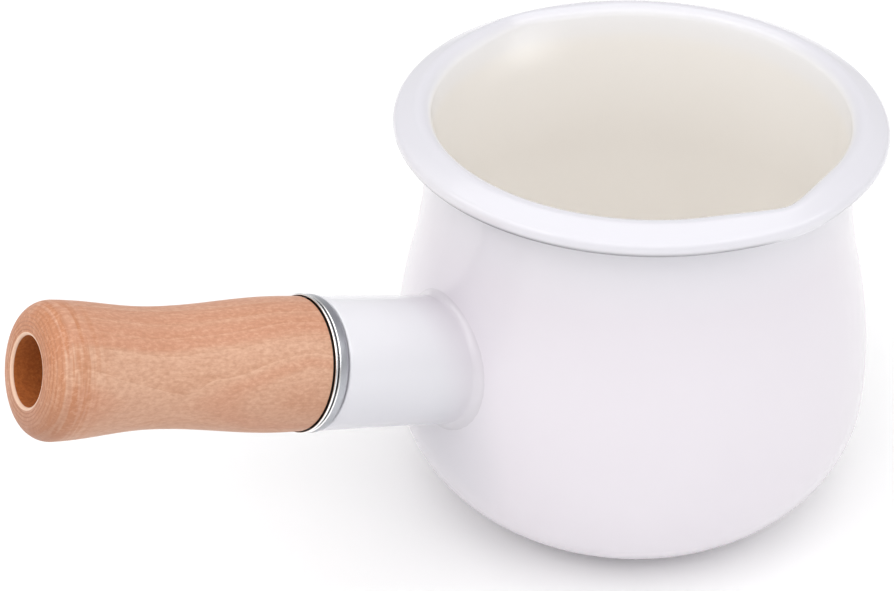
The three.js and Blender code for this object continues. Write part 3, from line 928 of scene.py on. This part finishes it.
def make_plate():
    """Drawn plate with a rounded rim, welded across the socket."""
    hole = BOLT_RADIUS + GAP
    bend = MM
    back = PLATE_END - PLATE_THICKNESS
    outline = (
        [(hole, back), (PLATE_RADIUS - WALL, back), (PLATE_RADIUS - WALL, PLATE_START)]
        + [(PLATE_RADIUS, PLATE_START)]
        + arc(PLATE_RADIUS - bend, PLATE_END - bend, bend, 0, 90, 8)
        + [(hole, PLATE_END)]
    )
    plate = turned_on_handle("socket_end_plate", outline, PLATED, SMALL_SIDES)
    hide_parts("socket_plate")
    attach(plate, "pan")


def make_nut():
    """Hexagon nut with chamfered corners and a threaded hole."""
    half = math.radians(30)
    flats = NUT_CORNER * math.cos(half)
    hole = BOLT_RADIUS + GAP

    def hexagon(limit, along):
        row = []
        for point in ring(1.0, along, NUT_SIDES):
            angle = math.atan2(point.y, point.x)
            from_corner = (angle + half) % (2 * half) - half
            from_flat = from_corner - half * (1 if from_corner > 0 else -1)
            radius = min(flats / math.cos(from_flat), limit)
            row.append(Vector((point.x * radius, point.y * radius, along)))
        return row

    chamfer = 0.5 * MM
    rows = [
        hexagon(flats, NUT_START),
        hexagon(NUT_CORNER, NUT_START + chamfer),
        hexagon(NUT_CORNER, NUT_END - chamfer),
        hexagon(flats, NUT_END),
        ring(hole + chamfer, NUT_END, NUT_SIDES),
        ring(hole, NUT_END - chamfer, NUT_SIDES),
        ring(hole, NUT_START + chamfer, NUT_SIDES),
        ring(hole + chamfer, NUT_START, NUT_SIDES),
    ]
    nut = grid_object("weld_nut_hexagon", on_handle(rows), PLATED, closed=True, sharp=25)
    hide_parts("weld_nut")
    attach(nut, "pan")


# ---- stage, light and camera -----------------------------------------------------------------

# Lengths in metres, bearings and elevations in degrees.
FLOOR_REACH = 4.0
FLOOR_DROP = 0.05 * MM  # keeps the floor from touching the base

CAMERA_BEARING = -36.6
CAMERA_ELEVATION = 34.2
CAMERA_ROLL = 1.8
CAMERA_DISTANCE = 446.55 * MM
CAMERA_ASIDE = -9.94 * MM  # how far right of the pot's axis the camera points
CAMERA_AIM_HEIGHT = 64.28 * MM
CAMERA_LENS = 70.2  # in millimetres, as Blender counts a lens
CAMERA_SHIFT = (-0.1667, -0.0451)

LIGHT_AIM = Vector((0, 0, 50 * MM))
OVERHEAD_ELEVATION = 84
OVERHEAD_DISTANCE = 2.0
OVERHEAD_SIZE = (3.0, 3.0)
OVERHEAD_WATTS = 34.5
KEY_ELEVATION = 42
KEY_DISTANCE = 1.5
KEY_SIZE = (1.3, 0.65)
KEY_WATTS = {CAMERA_BEARING: 3.2, -105: 4.4, 32: 3.75}  # one soft box at each bearing in degrees
HORIZON_STRENGTH = 0.70
ZENITH_STRENGTH = 0.44


def bearing_vector(bearing, elevation):
    """Unit vector from the pot towards a bearing, counted from -Y towards +X."""
    turn = math.radians(bearing)
    flat = math.cos(math.radians(elevation))
    rise = math.sin(math.radians(elevation))
    return Vector((math.sin(turn) * flat, -math.cos(turn) * flat, rise))


def make_floor():
    size = FLOOR_REACH
    corners = [(-size, -size, 0), (size, -size, 0), (size, size, 0), (-size, size, 0)]
    mesh = bpy.data.meshes.new("floor")
    mesh.from_pydata(corners, [], [(0, 1, 2, 3)])
    mesh.materials.append(floor_material())
    floor = bpy.data.objects.new("floor", mesh)
    floor.location.z = -FLOOR_DROP
    bpy.context.scene.collection.objects.link(floor)


def make_light(name, bearing, elevation, distance, size, watts):
    """A soft box that faces the pot, placed by its bearing from the pot's middle."""
    back = bearing_vector(bearing, elevation)
    data = bpy.data.lights.new(name, "AREA")
    data.shape = "RECTANGLE"
    data.size, data.size_y = size
    data.energy = watts
    light = bpy.data.objects.new(name, data)
    light.location = LIGHT_AIM + back * distance
    light.rotation_mode = "QUATERNION"
    light.rotation_quaternion = (-back).to_track_quat("-Z", "Y")
    bpy.context.scene.collection.objects.link(light)


def make_world():
    """White all round, brighter near the horizon than overhead."""
    world = bpy.data.worlds.new("studio")
    world.use_nodes = True
    tree = world.node_tree
    background = tree.nodes["Background"]
    background.inputs["Color"].default_value = (1.0, 1.0, 1.0, 1)
    direction = add(tree, "ShaderNodeTexCoord").outputs["Generated"]
    rise = add(tree, "ShaderNodeSeparateXYZ", {"Vector": direction}).outputs["Z"]
    strength = remap(tree, rise, 0.1, 0.6, HORIZON_STRENGTH, ZENITH_STRENGTH)
    tree.links.new(strength, background.inputs["Strength"])
    bpy.context.scene.world = world
    bpy.context.scene.view_settings.view_transform = "Standard"


def make_camera():
    """The lens, the pan and the slight roll of a hand-held product shot, framed off centre."""
    back = bearing_vector(CAMERA_BEARING, CAMERA_ELEVATION)
    bearing = math.radians(CAMERA_BEARING)
    roll = math.radians(CAMERA_ROLL)
    level = Vector((math.cos(bearing), math.sin(bearing), 0))
    up = back.cross(level)
    right = level * math.cos(roll) + up * math.sin(roll)
    upright = up * math.cos(roll) - level * math.sin(roll)
    aim = level * CAMERA_ASIDE + Vector((0, 0, CAMERA_AIM_HEIGHT))
    data = bpy.data.cameras.new("camera")
    data.lens = CAMERA_LENS
    data.shift_x, data.shift_y = CAMERA_SHIFT
    camera = bpy.data.objects.new("camera", data)
    turn = Matrix((right, upright, back)).transposed().to_4x4()
    camera.matrix_world = Matrix.Translation(aim + back * CAMERA_DISTANCE) @ turn
    bpy.context.scene.collection.objects.link(camera)
    bpy.context.scene.camera = camera


make_camera()
make_world()
make_floor()
make_light(
    "overhead", CAMERA_BEARING, OVERHEAD_ELEVATION, OVERHEAD_DISTANCE, OVERHEAD_SIZE, OVERHEAD_WATTS
)
for bearing, watts in KEY_WATTS.items():
    make_light("key", bearing, KEY_ELEVATION, KEY_DISTANCE, KEY_SIZE, watts)

make_pot()
make_socket()
make_ferrule()
make_grip()
make_flat_washer()
make_spring_washer()
make_bolt()
make_plate()
make_nut()
